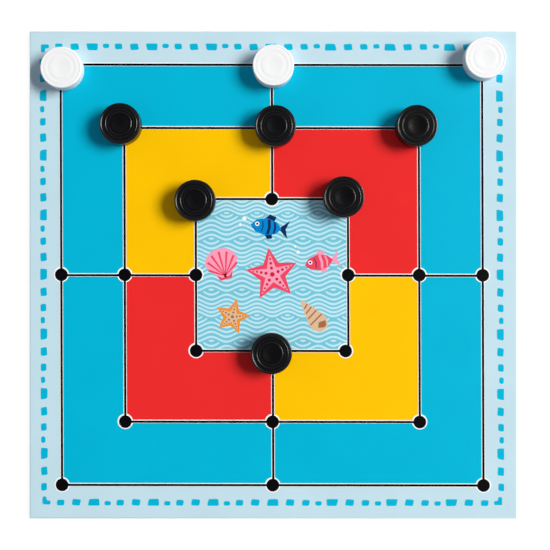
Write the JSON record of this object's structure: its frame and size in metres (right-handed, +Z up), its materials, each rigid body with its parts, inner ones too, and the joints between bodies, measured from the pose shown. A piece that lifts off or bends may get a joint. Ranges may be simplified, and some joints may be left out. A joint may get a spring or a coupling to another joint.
{
  "type": "nine mens morris board",
  "caption": "Flat square nine men's morris board: greyboard wrapped in a printed sheet, with turned counters lying on its points.",
  "frame": {"origin": "centre of the board's underside, on the plane it rests on", "axes": "+Z up out of the printed face, +X to the right, +Y to the far side, along the two midlines of the figure"},
  "size_m": [0.305, 0.305, 0.0111],
  "materials": {
    "greyboard": "raw pulp greyboard",
    "printed_sheet": "printed paper under a satin film, pale blue to its folded edges",
    "liner_paper": "uncoated liner paper",
    "ink_pale_blue": "satin print",
    "ink_blue": "satin print",
    "ink_yellow": "satin print",
    "ink_red": "satin print",
    "ink_sea": "satin print",
    "ink_black": "satin print",
    "white_lacquer": "gloss lacquer over turned wood",
    "black_lacquer": "gloss lacquer over turned wood"
  },
  "bodies": {
    "board": {"board_core": "greyboard", "cover_sheet": "printed_sheet", "backing_liner": "liner_paper", "border_tint": "ink_pale_blue", "outer_field": "ink_blue", "yellow_fields": "ink_yellow", "red_fields": "ink_red", "wave_panel": "ink_sea", "morris_figure": "ink_black"},
    "white_a7": {"white_counter_a7": "white_lacquer"},
    "white_d7": {"white_counter_d7": "white_lacquer"},
    "white_g7": {"white_counter_g7": "white_lacquer"},
    "black_b6": {"black_counter_b6": "black_lacquer"},
    "black_d6": {"black_counter_d6": "black_lacquer"},
    "black_f6": {"black_counter_f6": "black_lacquer"},
    "black_c5": {"black_counter_c5": "black_lacquer"},
    "black_e5": {"black_counter_e5": "black_lacquer"},
    "black_d3": {"black_counter_d3": "black_lacquer"}
  },
  "joints": [
    {"name": "lift_a7", "type": "slide", "parent": "board", "child": "white_a7", "axis": [0, 0, 1], "range_m": [0, 0.04]},
    {"name": "lift_d7", "type": "slide", "parent": "board", "child": "white_d7", "axis": [0, 0, 1], "range_m": [0, 0.04]},
    {"name": "lift_g7", "type": "slide", "parent": "board", "child": "white_g7", "axis": [0, 0, 1], "range_m": [0, 0.04]},
    {"name": "slide_b6", "type": "slide", "parent": "board", "child": "black_b6", "axis": [0, -1, 0], "range_m": [0, 0.0934]},
    {"name": "slide_d6", "type": "slide", "parent": "board", "child": "black_d6", "axis": [0, -1, 0], "range_m": [0, 0.0445]},
    {"name": "slide_f6", "type": "slide", "parent": "board", "child": "black_f6", "axis": [0, -1, 0], "range_m": [0, 0.0922]},
    {"name": "slide_c5", "type": "slide", "parent": "board", "child": "black_c5", "axis": [0, -1, 0], "range_m": [0, 0.0461]},
    {"name": "slide_e5", "type": "slide", "parent": "board", "child": "black_e5", "axis": [0, -1, 0], "range_m": [0, 0.0483]},
    {"name": "slide_d3", "type": "slide", "parent": "board", "child": "black_d3", "axis": [1, 0, 0], "range_m": [-0.0471, 0.0464]}
  ]
}
